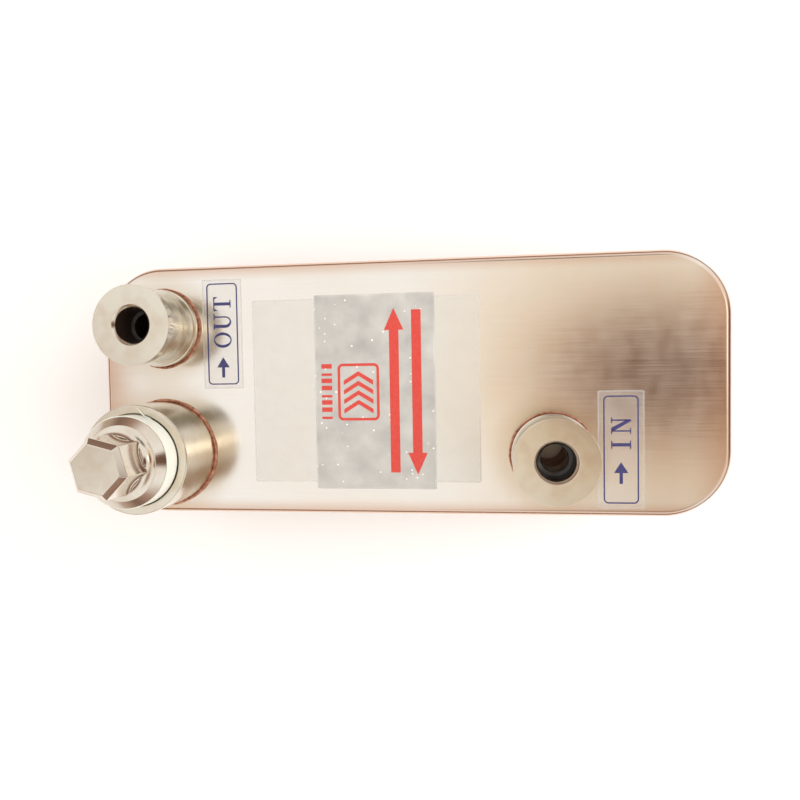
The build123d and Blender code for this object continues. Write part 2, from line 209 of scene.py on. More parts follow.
def spread(tree, factor, low, high):
    """Map 0..1 to low..high."""
    node = add(tree, "ShaderNodeMapRange", {"To Min": low, "To Max": high}, {"Value": factor})
    return node.outputs["Result"]


def noise(tree, point, size, detail=3.0, stretch=(1, 1, 1)):
    """Noise with features of a real size in metres, longer along an axis whose stretch is larger."""
    scale = [1 / (size * s) for s in stretch]
    scaled = add(tree, "ShaderNodeVectorMath", {1: scale}, {0: point}, operation="MULTIPLY")
    node = add(tree, "ShaderNodeTexNoise", {"Scale": 1.0, "Detail": detail}, {"Vector": scaled.outputs[0]})
    return node.outputs["Fac"]


def mix(tree, factor, first, second, blend="MIX"):
    """Mix two colours; each is a colour or a socket."""
    node = add(tree, "ShaderNodeMix", data_type="RGBA", blend_type=blend)
    for index, value in ((0, factor), (6, first), (7, second)):
        if isinstance(value, (float, int, tuple)):
            node.inputs[index].default_value = value
        else:
            tree.links.new(value, node.inputs[index])
    return node.outputs[2]


def bump(tree, shader, height, depth, strength=1.0):
    """Feed a height into the shader's normal; depth is in metres."""
    node = add(tree, "ShaderNodeBump", {"Strength": strength, "Distance": depth}, {"Height": height})
    tree.links.new(node.outputs["Normal"], shader.inputs["Normal"])


# %% [markdown]
# ## Rolled stainless sheet
# The covers are 304 or 316 sheet with a rolled, lightly brushed finish along the length. Brazing in a vacuum
# furnace leaves it clean but warm in tone. Near the ends and long sides it is painted pinker and browner:
# partly the tint where copper has wetted the surface, partly a painted reflection of warm surroundings. The
# grain is fine noise, very long along X. It drives roughness and a shallow bump, and larger noise tints the
# metal.
# Real grain is about 0.05 mm wide; it is drawn at 0.35 mm here so that it shows at this distance.

# %% Rolled stainless sheet
GRAIN_WIDTH = 0.35 * MM
END_REACH = 22 * MM  # how far the pinker tone reaches in from the ends
SIDE_REACH = 9 * MM  # and from the long sides


def rolled_stainless(name, light, warm, roughness, halos=()):
    """Brushed sheet; halos are (x, y, radius) places where heat or copper has tinted it."""
    material, tree, shader = new_material(name)
    point = object_point(tree)
    grain = noise(tree, point, GRAIN_WIDTH, 4.0, (90, 1, 1))
    clouds = noise(tree, point, 45 * MM, 3.0, (1.6, 1, 1))
    tint = mix(tree, ramp(tree, clouds, (0.38, (0, 0, 0, 1)), (0.66, (0.55, 0.55, 0.55, 1))), light, warm)
    split = add(tree, "ShaderNodeSeparateXYZ", links={"Vector": point})
    # pinker towards the ends and long sides: partly copper tint, partly painted reflection of warm
    # surroundings
    for axis, half, reach in (("X", HALF_LENGTH, END_REACH), ("Y", HALF_WIDTH, SIDE_REACH)):
        distance = add(tree, "ShaderNodeMath", links={0: split.outputs[axis]}, operation="ABSOLUTE")
        edge = add(
            tree,
            "ShaderNodeMapRange",
            {"From Min": half - reach, "From Max": half - 1 * MM, "To Max": 0.75},
            {"Value": distance.outputs[0]},
            interpolation_type="SMOOTHSTEP",
        )
        tint = mix(tree, edge.outputs["Result"], tint, EDGE_TINT_AND_REFLECTION)
    for x, y, radius in halos:
        away = add(tree, "ShaderNodeVectorMath", {1: (x, y, FACE)}, {0: point}, operation="DISTANCE")
        glow = add(
            tree,
            "ShaderNodeMapRange",
            {"From Min": radius, "From Max": radius + 14 * MM, "To Min": 0.35, "To Max": 0.0},
            {"Value": away.outputs["Value"]},
            interpolation_type="SMOOTHSTEP",
        )
        tint = mix(tree, glow.outputs["Result"], tint, HALO_TINT)
    smudge = noise(tree, point, 7 * MM, 5.0, (1, 1.8, 1))
    speck = noise(tree, point, 0.9 * MM, 2.0)
    dirt = ramp(tree, speck, (0.72, (0, 0, 0, 1)), (0.78, (0.6, 0.6, 0.6, 1)))
    patch = ramp(tree, smudge, (0.55, (0, 0, 0, 1)), (0.7, (1, 1, 1, 1)))
    marked = add(tree, "ShaderNodeMath", links={0: dirt, 1: patch}, operation="MULTIPLY")
    tint = mix(tree, marked.outputs[0], tint, linear("#6E5A48"))
    streak = ramp(tree, grain, (0.25, (0.955, 0.955, 0.955, 1)), (0.75, (1, 1, 1, 1)))
    tint = mix(tree, 1.0, tint, streak, "MULTIPLY")
    tree.links.new(tint, shader.inputs["Base Color"])
    shader.inputs["Metallic"].default_value = 1.0
    rough = add(tree, "ShaderNodeMath", {1: 0.10}, {0: grain}, operation="MULTIPLY")
    rough = add(tree, "ShaderNodeMath", {1: roughness - 0.05}, {0: rough.outputs[0]}, operation="ADD")
    cloudy = add(tree, "ShaderNodeMath", {1: 0.08}, {0: smudge}, operation="MULTIPLY")
    total = add(tree, "ShaderNodeMath", links={0: rough.outputs[0], 1: cloudy.outputs[0]}, operation="ADD")
    tree.links.new(total.outputs[0], shader.inputs["Roughness"])
    bump(tree, shader, grain, 0.012 * MM, 0.2)
    return material


# edge colour: partly copper wetting, partly a painted reflection of warm surroundings
EDGE_TINT_AND_REFLECTION = linear("#D9B49C")
HALO_TINT = linear("#C9AE84")
HALOS = ((*OUTLET, 19 * MM), (*INLET, 19 * MM), (*PLUGGED, 26 * MM))
cover_steel = rolled_stainless("rolled_stainless_cover", linear("#F4F2EF"), linear("#F1E8DE"), 0.13, HALOS)
back_steel = rolled_stainless("rolled_stainless_back", linear("#E4DFD8"), linear("#D8C6B6"), 0.30)
plate_steel = rolled_stainless("pressed_stainless_plate", linear("#D9CDBE"), linear("#C6A68C"), 0.34)

# %% [markdown]
# ## Turned steel
# The nozzles and sockets are turned from bar, so fine tool marks run round them as rings on the faces and as
# bands on the sides. One noise value that follows radius plus height gives both. Marks from a finishing cut
# are about 0.1 mm apart; they are drawn at 0.3 mm.

# %% Turned steel
TOOL_MARK = 0.3 * MM


def turned_steel(name, colour, roughness, centre, bore=0.0, rings=1.0):
    """Bar stock turned about a vertical axis at centre; inside the bore radius it is painted dark and not
    metallic, as painted shade in the bore.
    """
    material, tree, shader = new_material(name)
    point = object_point(tree, centre)
    split = add(tree, "ShaderNodeSeparateXYZ", links={"Vector": point})
    flat = add(tree, "ShaderNodeVectorMath", {1: (1, 1, 0)}, {0: point}, operation="MULTIPLY")
    radius = add(tree, "ShaderNodeVectorMath", links={0: flat.outputs[0]}, operation="LENGTH")
    shared = add(tree, "ShaderNodeMath", {1: rings}, {0: radius.outputs["Value"]}, operation="MULTIPLY")
    along = add(tree, "ShaderNodeMath", links={0: shared.outputs[0], 1: split.outputs["Z"]}, operation="ADD")
    turns = add(tree, "ShaderNodeMath", {1: 1 / TOOL_MARK}, {0: along.outputs[0]}, operation="MULTIPLY")
    wave = {"Scale": 1.0, "Detail": 3.0}
    noisy = add(tree, "ShaderNodeTexNoise", wave, {"W": turns.outputs[0]}, noise_dimensions="1D")
    marks = noisy.outputs["Fac"]
    stain = noise(tree, point, 9 * MM, 4.0)
    warm = ramp(tree, stain, (0.42, (0, 0, 0, 1)), (0.75, (0.35, 0.35, 0.35, 1)))
    tint = mix(tree, warm, colour, linear("#C8AE93"))
    ring = ramp(tree, marks, (0.3, (0.95, 0.95, 0.95, 1)), (0.7, (1, 1, 1, 1)))
    tint = mix(tree, 1.0, tint, ring, "MULTIPLY")
    # inside the bore radius: painted shade, a dark colour with no metallic reflection
    outside = add(tree, "ShaderNodeMath", {1: bore}, {0: radius.outputs["Value"]}, operation="GREATER_THAN")
    tree.links.new(mix(tree, outside.outputs[0], BORE_SHADE_PAINT, tint), shader.inputs["Base Color"])
    tree.links.new(outside.outputs[0], shader.inputs["Metallic"])
    tree.links.new(spread(tree, marks, roughness - 0.05, roughness + 0.05), shader.inputs["Roughness"])
    bump(tree, shader, marks, 0.010 * MM, 0.2)
    return material


# painted shade for the inside of the bores
BORE_SHADE_PAINT = linear("#2A201A")
TUBE_BORE = 8.15 * MM
WATER_BORE = 13.5 * MM
outlet_steel = turned_steel("turned_steel_outlet", linear("#E4DFD3"), 0.19, OUTLET, TUBE_BORE)
inlet_steel = turned_steel("turned_steel_inlet", linear("#E4DFD3"), 0.19, INLET, TUBE_BORE)
socket_steel = turned_steel("turned_steel_socket", linear("#E2DCCF"), 0.18, PLUGGED, WATER_BORE)
far_steel = turned_steel("turned_steel_far_socket", linear("#E2DCCF"), 0.20, FAR, WATER_BORE)
plug_steel = turned_steel("nickel_plated_plug", linear("#E6E0D6"), 0.13, PLUGGED, rings=0.0)

# %% [markdown]
# ## Copper braze
# Copper melts in the furnace, runs into every gap and freezes as a thin concave fillet. Its surface is
# slightly rippled and dulls from salmon to brown.

# %% Copper braze


def copper_braze(name, bright, dull):
    """Flowed copper, mottled and slightly rippled."""
    material, tree, shader = new_material(name)
    point = object_point(tree)
    mottle = noise(tree, point, 2.2 * MM, 4.0)
    tint = mix(tree, ramp(tree, mottle, (0.35, (0, 0, 0, 1)), (0.65, (1, 1, 1, 1))), bright, dull)
    tree.links.new(tint, shader.inputs["Base Color"])
    shader.inputs["Metallic"].default_value = 1.0
    tree.links.new(spread(tree, mottle, 0.32, 0.58), shader.inputs["Roughness"])
    bump(tree, shader, noise(tree, point, 0.8 * MM, 3.0), 0.05 * MM, 0.7)
    return material


copper = copper_braze("copper_braze", linear("#D9A48B"), linear("#A06C54"))
copper_tube = copper_braze("drawn_copper_tube", linear("#D39A78"), linear("#A9714F"))

# %% [markdown]
# ## PTFE tape, films and inks
# Thread-seal tape is soft white PTFE. It is not a metal: it scatters light, so it is a rough dielectric with
# a little subsurface. The labels are printed on clear or greyish film, which shows as a slightly milky pane
# with a gloss of its own. The inks are thin flat shapes on the film.

# %% Tape, films and inks


def ptfe_tape(name):
    """White tape with the lines of its overlapping turns."""
    material, tree, shader = new_material(name)
    point = object_point(tree, PLUGGED)
    wrap = noise(tree, point, 0.5 * MM, 3.0, (16, 16, 1))
    tint = mix(tree, wrap, linear("#E9EBDD"), linear("#FBFDF6"))
    tree.links.new(tint, shader.inputs["Base Color"])
    shader.inputs["Roughness"].default_value = 0.42
    shader.inputs["Subsurface Weight"].default_value = 0.15
    shader.inputs["Subsurface Scale"].default_value = 0.5 * MM
    bump(tree, shader, wrap, 0.08 * MM, 0.8)
    return material


def rim_of(tree, point, node, width):
    """1 on a rim of this width inside a node's outline, and 0 elsewhere."""
    low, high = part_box(node)
    split = add(tree, "ShaderNodeSeparateXYZ", links={"Vector": point})
    past = []
    for axis, start, end in (("X", low.x, high.x), ("Y", low.y, high.y)):
        centred = add(
            tree, "ShaderNodeMath", {1: (start + end) / 2}, {0: split.outputs[axis]}, operation="SUBTRACT"
        )
        size = add(tree, "ShaderNodeMath", links={0: centred.outputs[0]}, operation="ABSOLUTE")
        edge = add(tree, "ShaderNodeMath", {1: (end - start) / 2}, {0: size.outputs[0]}, operation="SUBTRACT")
        past.append(edge.outputs[0])
    outer = add(tree, "ShaderNodeMath", links={0: past[0], 1: past[1]}, operation="MAXIMUM")
    rim = add(tree, "ShaderNodeMath", {1: -width}, {0: outer.outputs[0]}, operation="GREATER_THAN")
    return rim.outputs[0]


def clear_film(name, node, colour, opacity, roughness, flecks=0.0):
    """The film of one node: opacity is how milky it is, and flecks adds small white bubbles."""
    material, tree, shader = new_material(name)
    point = object_point(tree)
    cloud = noise(tree, point, 12 * MM, 4.0)
    rim = rim_of(tree, point, node, 0.7 * MM)
    tint = mix(tree, cloud, colour, linear("#F4F3EE"))
    cover = spread(tree, cloud, opacity - 0.06, opacity + 0.06)
    milky = add(tree, "ShaderNodeMath", {1: 0.10}, {0: rim}, operation="MULTIPLY")
    cover = add(tree, "ShaderNodeMath", links={0: cover, 1: milky.outputs[0]}, operation="ADD").outputs[0]
    if flecks:
        cells = add(tree, "ShaderNodeTexVoronoi", {"Scale": 1 / (2.6 * MM)}, {"Vector": point})
        chance = add(tree, "ShaderNodeSeparateColor", links={"Color": cells.outputs["Color"]})
        rare = add(tree, "ShaderNodeMath", {1: 0.80}, {0: chance.outputs["Red"]}, operation="GREATER_THAN")
        near = add(tree, "ShaderNodeMath", {1: 0.16}, {0: cells.outputs["Distance"]}, operation="LESS_THAN")
        both = {0: rare.outputs[0], 1: near.outputs[0]}
        fleck = add(tree, "ShaderNodeMath", links=both, operation="MULTIPLY").outputs[0]
        tint = mix(tree, fleck, tint, linear("#FBFAF6"))
        bubble = add(tree, "ShaderNodeMath", {1: flecks}, {0: fleck}, operation="MULTIPLY").outputs[0]
        cover = add(tree, "ShaderNodeMath", links={0: cover, 1: bubble}, operation="ADD").outputs[0]
    tree.links.new(tint, shader.inputs["Base Color"])
    tree.links.new(cover, shader.inputs["Alpha"])
    shader.inputs["Roughness"].default_value = roughness
    bump(tree, shader, cloud, 0.05 * MM, 0.4)
    return material


def print_ink(name, colour, worn):
    """Screen-printed ink, a little uneven."""
    material, tree, shader = new_material(name)
    point = object_point(tree)
    uneven = noise(tree, point, 1.4 * MM, 4.0)
    tree.links.new(mix(tree, uneven, colour, worn), shader.inputs["Base Color"])
    shader.inputs["Roughness"].default_value = 0.38
    bump(tree, shader, uneven, 0.01 * MM, 0.4)
    return material


tape_white = ptfe_tape("ptfe_thread_tape")
backing = clear_film("clear_backing_film", "backing_film", linear("#EFEFEA"), 0.16, 0.30)
grey_film = clear_film("grey_label_film", "rating_label", linear("#B4B3B1"), 0.62, 0.34, 0.35)
outlet_film = clear_film("clear_outlet_film", "outlet_label", linear("#DCDCE0"), 0.08, 0.25)
inlet_film = clear_film("clear_inlet_film", "inlet_label", linear("#DCDCE0"), 0.08, 0.25)
red_ink = print_ink("red_print_ink", linear("#CC352B"), linear("#D9544A"))
blue_ink = print_ink("dark_blue_print_ink", linear("#2B2A63"), linear("#4A4878"))

# %% [markdown]
# ## Finishes on the CAD nodes
# The plates, the copper seams and the hidden pieces keep their CAD shapes, which are right already.

# %% Finishes on the CAD nodes
for name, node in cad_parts.items():
    finish = None
    if name.startswith("channel_plate"):
        finish = plate_steel
    elif name.endswith("braze") or name.endswith("seams"):
        finish = copper
    elif name == "inlet_distributor_tube":
        finish = copper_tube
    elif name == "back_cover_plate":
        finish = back_steel
    if finish:
        node.data.materials.clear()
        node.data.materials.append(finish)

# %% [markdown]
# ## Front cover
# The cover is a shallow pan pressed from 1.5 mm sheet: a flat face, a soft bend and a short skirt that leans
# outwards. It is made as a presser would think of it. A plane is given round corners, its outline is inset,
# the middle is lifted to leave a sloped skirt, and the fold is bevelled into a bend. Solidify gives the sheet
# its thickness, and three holes are cut for the fittings.

# %% Front cover
CORNER_RADIUS = 31 * MM
SHEET = 1.5 * MM
BEND = 3 * MM
SKIRT_LEAN = 0.2041  # outward lean of the skirt for each unit of its height
HOLE_RADIUS = 14 * MM


def select_faces(obj, wanted):
    """In edit mode's mesh, select just the faces that pass a test of centre and normal."""
    bpy.ops.object.mode_set(mode="OBJECT")
    for part in (obj.data.vertices, obj.data.edges, obj.data.polygons):
        for item in part:
            item.select = False
    for face in obj.data.polygons:
        face.select = wanted(face)
    bpy.ops.object.mode_set(mode="EDIT")
    bpy.ops.mesh.select_mode(type="FACE")


def make_front_cover():
    """The pressed pan with its three holes."""
    deselect()
    bpy.ops.mesh.primitive_plane_add(size=1, location=(0, 0, RIM))
    cover = bpy.context.object
    cover.name = "front_cover"
    cover.scale = (2 * HALF_LENGTH, 2 * HALF_WIDTH, 1)
    bpy.ops.object.transform_apply(location=True, rotation=True, scale=True)
    bpy.ops.object.mode_set(mode="EDIT")
    bpy.ops.mesh.select_all(action="SELECT")
    bpy.ops.mesh.bevel(offset=CORNER_RADIUS, segments=32, affect="VERTICES")
    bpy.ops.mesh.select_all(action="SELECT")
    bpy.ops.mesh.inset(thickness=(FACE - RIM) * SKIRT_LEAN)
    bpy.ops.transform.translate(value=(0, 0, FACE - RIM))
    bpy.ops.mesh.region_to_loop()
    bpy.ops.mesh.bevel(offset=BEND * 0.8, segments=10, affect="EDGES")
    select_faces(cover, lambda face: face.normal.z > 0.999 and face.area > 0.01)
    bpy.ops.mesh.inset(thickness=0.5 * MM)
    bpy.ops.object.mode_set(mode="OBJECT")
    apply_modifier(cover, "SOLIDIFY", thickness=SHEET, offset=-1, use_even_offset=True)
    for x, y in (OUTLET, INLET, PLUGGED):
        place = (x, y, FACE)
        bpy.ops.mesh.primitive_cylinder_add(vertices=96, radius=HOLE_RADIUS, depth=20 * MM, location=place)
        cutter = bpy.context.object
        apply_modifier(cover, "BOOLEAN", object=cutter, operation="DIFFERENCE", solver="EXACT")
        bpy.data.objects.remove(cutter)
    smooth(cover, 30)
    return cover


front_cover = make_front_cover()
place_piece(front_cover, "exchanger", cover_steel, "stainless_steel", "front_cover_plate")
print("front cover:", len(front_cover.data.polygons), "faces")

# %% [markdown]
# ## Turned fittings
# Everything turned is made as on a lathe: a half profile is drawn point by point, then spun about its axis.
# Every machined corner has a small break, so sharp edges get a narrow two-step bevel that catches light.
# All profiles are (radius, height) in millimetres from the face that the fitting stands on.

# %% The lathe
STEPS = 120


def lathe(name, profile, centre, base, edge=0.25, closed=True):
    """Spin a profile of (radius, height) millimetres about the vertical axis at centre."""
    deselect()
    bpy.ops.mesh.primitive_plane_add(size=1 * MM, location=(0, 0, 0))
    piece = bpy.context.object
    piece.name = name
    bpy.ops.object.mode_set(mode="EDIT")
    bpy.ops.mesh.select_mode(type="VERT")
    bpy.ops.mesh.select_all(action="SELECT")
    bpy.ops.mesh.merge(type="CENTER")
    radius, height = profile[0]
    bpy.ops.transform.translate(value=(radius * MM, 0, height * MM))
    points = [*profile[1:], profile[0]] if closed else profile[1:]
    for next_radius, next_height in points:
        step = ((next_radius - radius) * MM, 0, (next_height - height) * MM)
        bpy.ops.mesh.extrude_region_move(TRANSFORM_OT_translate={"value": step})
        radius, height = next_radius, next_height
    bpy.ops.mesh.select_all(action="SELECT")
    bpy.ops.mesh.spin(steps=STEPS, angle=2 * math.pi, center=(0, 0, 0), axis=(0, 0, 1))
    bpy.ops.mesh.select_all(action="SELECT")
    bpy.ops.mesh.remove_doubles(threshold=0.0005 * MM)
    bpy.ops.mesh.normals_make_consistent(inside=False)
    if edge:
        bpy.ops.mesh.select_all(action="DESELECT")
        bpy.ops.mesh.edges_select_sharp(sharpness=math.radians(25))
        bpy.ops.mesh.bevel(offset=edge * MM, segments=2, affect="EDGES", clamp_overlap=True)
    bpy.ops.object.mode_set(mode="OBJECT")
    piece.location = (*centre, base)
    bake_place(piece)
    smooth(piece, 40)
    return piece


# %% [markdown]
# ### Refrigerant nozzles
# A solder nozzle has a thick front collar, a narrower neck, a ring, a shallow groove and a base flange that
# is brazed to the cover. Its bore takes a 16 mm copper tube down to a shoulder.

# %% Refrigerant nozzles
NOZZLE_TOP = (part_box("refrigerant_outlet_nozzle")[1].z - FACE) / MM
COLLAR = NOZZLE_TOP - 4.6
TUBE_STOP = NOZZLE_TOP - 16
NOZZLE_PROFILE = [
    (6.25, -1.5), (13.9, -1.5), (13.9, 0), (19, 0), (19, 5), (17.6, 5), (17.6, 6.2), (18.5, 6.2),
    (18.5, 12), (16, 12), (16, COLLAR), (18.6, COLLAR), (18.6, NOZZLE_TOP), (9.5, NOZZLE_TOP),
    (8, NOZZLE_TOP - 1.5), (8, TUBE_STOP), (6.25, TUBE_STOP),
]

outlet_nozzle = lathe("outlet_nozzle", NOZZLE_PROFILE, OUTLET, FACE)
place_piece(outlet_nozzle, "exchanger", outlet_steel, "turned_steel", "refrigerant_outlet_nozzle")
inlet_nozzle = lathe("inlet_nozzle", NOZZLE_PROFILE, INLET, FACE)
place_piece(inlet_nozzle, "exchanger", inlet_steel, "turned_steel", "refrigerant_inlet_nozzle")

# %% [markdown]
# ### Water sockets
# The front water socket is a thick turned ring with a pipe thread, and it is closed by the plug. The two on
# the back are plain sockets for 28 mm tube.

# %% Water sockets
SOCKET_RADIUS = 25.5
SOCKET_TOP = (SOCKET_FACE - FACE) / MM
SOCKET_PROFILE = [
    (13, -1.5), (13.9, -1.5), (13.9, 0), (SOCKET_RADIUS, 0), (SOCKET_RADIUS, SOCKET_TOP - 0.4),
    (SOCKET_RADIUS - 0.4, SOCKET_TOP), (21.65, SOCKET_TOP), (20.95, SOCKET_TOP - 0.7),
    (20.95, SOCKET_TOP - 24), (13, SOCKET_TOP - 24),
]
BACK_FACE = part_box("water_outlet_braze")[1].z
BACK_RADIUS = (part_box("water_outlet_socket")[1].x - FAR[0]) / MM
BACK_END = -BACK_FACE / MM
BACK_PROFILE = [
    (13, 1.5), (13.9, 1.5), (13.9, 0), (BACK_RADIUS, 0), (BACK_RADIUS, BACK_END + 0.8),
    (BACK_RADIUS - 0.8, BACK_END), (14.85, BACK_END), (14.05, BACK_END + 0.8), (14.05, BACK_END + 20),
    (13, BACK_END + 20),
]

front_socket = lathe("front_water_socket", SOCKET_PROFILE, PLUGGED, FACE)
place_piece(front_socket, "exchanger", socket_steel, "turned_steel", "plugged_water_socket")
near_back_socket = lathe("near_back_socket", BACK_PROFILE, PLUGGED, BACK_FACE)
place_piece(near_back_socket, "exchanger", socket_steel, "turned_steel", "water_inlet_socket")
far_back_socket = lathe("far_back_socket", BACK_PROFILE, FAR, BACK_FACE)
place_piece(far_back_socket, "exchanger", far_steel, "turned_steel", "water_outlet_socket")

# %% [markdown]
# ### Braze fillets
# The copper fillet round each fitting is a small concave ring. Its foot is never a perfect circle, so the
# foot's vertices are moved in and out a little round the ring.

# %% Braze fillets


def braze_ring(name, radius, width, centre, base, side):
    """A concave ring with an uneven foot; side is 1 standing up and -1 hanging down."""
    profile = [(radius, 0), (radius + width, 0), (radius + width, 0.15 * side)]
    for i in range(1, 6):
        angle = math.radians(90 * i / 6)
        profile.append((radius + width * (1 - math.sin(angle)), side * (1.2 - 1.05 * math.cos(angle))))
    profile.append((radius, 1.2 * side))
    ring = lathe(name, profile, centre, base, edge=0)
    draw = random.Random(len(name))
    waves = [(count, draw.uniform(0, math.tau), draw.uniform(0.05, 0.12)) for count in (3, 5, 8, 13, 21)]
    for vertex in ring.data.vertices:
        dx, dy = vertex.co.x - centre[0], vertex.co.y - centre[1]
        reach = math.hypot(dx, dy)
        share = max(0.0, (reach - radius * MM) / (width * MM))
        turn_here = math.atan2(dy, dx)
        shift = -sum(size * (1 + math.sin(count * turn_here + start)) / 2 for count, start, size in waves)
        scale = (reach + share * shift * width * MM) / reach
        vertex.co.x = centre[0] + dx * scale
        vertex.co.y = centre[1] + dy * scale
    return ring


RINGS = (
    ("outlet_braze_ring", 19, 1.3, OUTLET, FACE, 1, "refrigerant_outlet_braze"),
    ("inlet_braze_ring", 19, 1.3, INLET, FACE, 1, "refrigerant_inlet_braze"),
    ("front_socket_braze_ring", SOCKET_RADIUS, 1.65, PLUGGED, FACE, 1, "plugged_socket_braze"),
    ("near_back_braze_ring", BACK_RADIUS, 1.65, PLUGGED, BACK_FACE, -1, "water_inlet_braze"),
    ("far_back_braze_ring", BACK_RADIUS, 1.65, FAR, BACK_FACE, -1, "water_outlet_braze"),
)
for name, radius, width, centre, base, side, node in RINGS:
    ring = braze_ring(name, radius, width, centre, base, side)
    place_piece(ring, "exchanger", copper, "copper_braze", node)

# %% [markdown]
# ## Port plug
# The plug has three parts to model: a turned shoulder with a chamfer and a concave foot, a forged hexagon
# with bevelled top corners, and a right-hand pipe thread. The thread is a real helix: one tooth's outline is
# swept round by a Screw modifier with the pitch of G 1 1/4 (11 threads to the inch, 2.309 mm), then both
# ragged ends are cut flat and filled.

# %% Port plug
PITCH = 2.309
CREST = 20.55
ROOT = 19.1
PLUG_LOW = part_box("port_plug")[0].z
PLUG_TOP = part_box("port_plug")[1].z
SHOULDER = SOCKET_TOP + 10  # millimetres over the cover's face
CROWN = SHOULDER + 3
HEX_FLATS = 24.0
HEX_TURN = 45.5


def make_plug_head():
    """The turned shoulder and its concave foot, joined to the hexagon."""
    foot = []
    for degrees in range(10, 91, 10):
        angle = math.radians(degrees)
        foot.append((17 - 5.4 * math.sin(angle), CROWN + 4.4 * (1 - math.cos(angle))))
    rim = [(20.4, SHOULDER - 0.8), (20.6, SHOULDER - 0.6), (20.6, SHOULDER)]
    profile = [(0, SHOULDER - 0.8), *rim, (17, CROWN), *foot, (0, CROWN + 4.4)]
    head = lathe("port_plug_head", profile, PLUGGED, FACE, edge=0.2, closed=False)
    height = PLUG_TOP - FACE - (CROWN + 0.05) * MM
    place = (*PLUGGED, PLUG_TOP - height / 2)
    deselect()
    bpy.ops.mesh.primitive_cylinder_add(
        vertices=6, radius=HEX_FLATS / math.sqrt(3) * MM, depth=height, location=place,
        rotation=(0, 0, math.radians(HEX_TURN + 30)),
    )
    hexagon = bpy.context.object
    bake_place(hexagon)
    select_faces(hexagon, lambda face: face.normal.z > 0.9)
    bpy.ops.mesh.bevel(offset=2.4 * MM, segments=1, affect="EDGES")
    select_faces(hexagon, lambda face: face.normal.z > -0.9)
    bpy.ops.mesh.select_mode(type="EDGE")
    bpy.ops.mesh.bevel(offset=0.28 * MM, segments=2, affect="EDGES")
    bpy.ops.object.mode_set(mode="OBJECT")
    apply_modifier(head, "BOOLEAN", object=hexagon, operation="UNION", solver="EXACT")
    bpy.data.objects.remove(hexagon)
    smooth(head, 22)
    return head


def make_plug_thread():
    """The threaded shank, cut flat at both ends."""
    deselect()
    bpy.ops.mesh.primitive_plane_add(size=1 * MM, location=(0, 0, 0))
    thread = bpy.context.object
    thread.name = "port_plug_thread"
    bpy.ops.object.mode_set(mode="EDIT")
    bpy.ops.mesh.select_mode(type="VERT")
    bpy.ops.mesh.select_all(action="SELECT")
    bpy.ops.mesh.merge(type="CENTER")
    bpy.ops.transform.translate(value=(ROOT * MM, 0, 0))
    tooth = ((CREST - ROOT, 0.42 * PITCH), (0, 0.16 * PITCH), (ROOT - CREST, 0.42 * PITCH))
    for out, up in tooth:
        bpy.ops.mesh.extrude_region_move(TRANSFORM_OT_translate={"value": (out * MM, 0, up * MM)})
    bpy.ops.object.mode_set(mode="OBJECT")
    turns = 12
    apply_modifier(
        thread, "SCREW", angle=math.tau, screw_offset=PITCH * MM, iterations=turns, steps=72,
        render_steps=72, use_merge_vertices=True, merge_threshold=0.001 * MM,
    )
    low = PLUG_LOW + 0.1 * MM
    high = FACE + (SHOULDER - 0.7) * MM
    thread.location = (*PLUGGED, low - 1.2 * PITCH * MM)
    bake_place(thread)
    bpy.ops.object.mode_set(mode="EDIT")
    bpy.ops.mesh.select_all(action="SELECT")
    bpy.ops.mesh.remove_doubles(threshold=0.001 * MM)
    bpy.ops.mesh.bisect(plane_co=(0, 0, high), plane_no=(0, 0, 1), use_fill=True, clear_outer=True)
    bpy.ops.mesh.select_all(action="SELECT")
    bpy.ops.mesh.bisect(plane_co=(0, 0, low), plane_no=(0, 0, 1), use_fill=True, clear_inner=True)
    bpy.ops.mesh.select_all(action="SELECT")
    bpy.ops.mesh.normals_make_consistent(inside=False)
    bpy.ops.object.mode_set(mode="OBJECT")
    smooth(thread, 30)
    return thread


plug_head = make_plug_head()
place_piece(plug_head, "plug", plug_steel, "plated_plug", "port_plug")
plug_thread = make_plug_thread()
place_piece(plug_thread, "plug", plug_steel, "plated_plug")
print("plug thread:", len(plug_thread.data.polygons), "faces")

# %% [markdown]
# ## Thread-seal tape
# The tape is wound on the exposed thread in overlapping turns, so its outside is a stack of soft steps. Its
# end is torn, and a small frayed tongue of it stands off the band.

# %% Thread-seal tape


def make_tape():
    """The wound band, a stack of soft steps."""
    inner, outer, low, high = 20.66, 21.05, SOCKET_TOP + 0.3, SHOULDER - 0.3
    profile = [(inner, low), (outer - 0.12, low)]
    turns = 5
    for i in range(turns):
        start = low + (high - low) * i / turns
        end = low + (high - low) * (i + 1) / turns
        profile += [(outer - 0.12, start + 0.25), (outer, start + 0.5), (outer - 0.03, end - 0.1)]
    profile += [(outer - 0.12, high), (inner, high)]
    tape = lathe("thread_seal_tape_band", profile, PLUGGED, FACE, edge=0)
    draw = random.Random(4)
    for vertex in tape.data.vertices:
        if vertex.co.z - SOCKET_FACE > 0.6 * MM:
            vertex.co.z += draw.uniform(-0.04, 0.04) * MM
    return tape


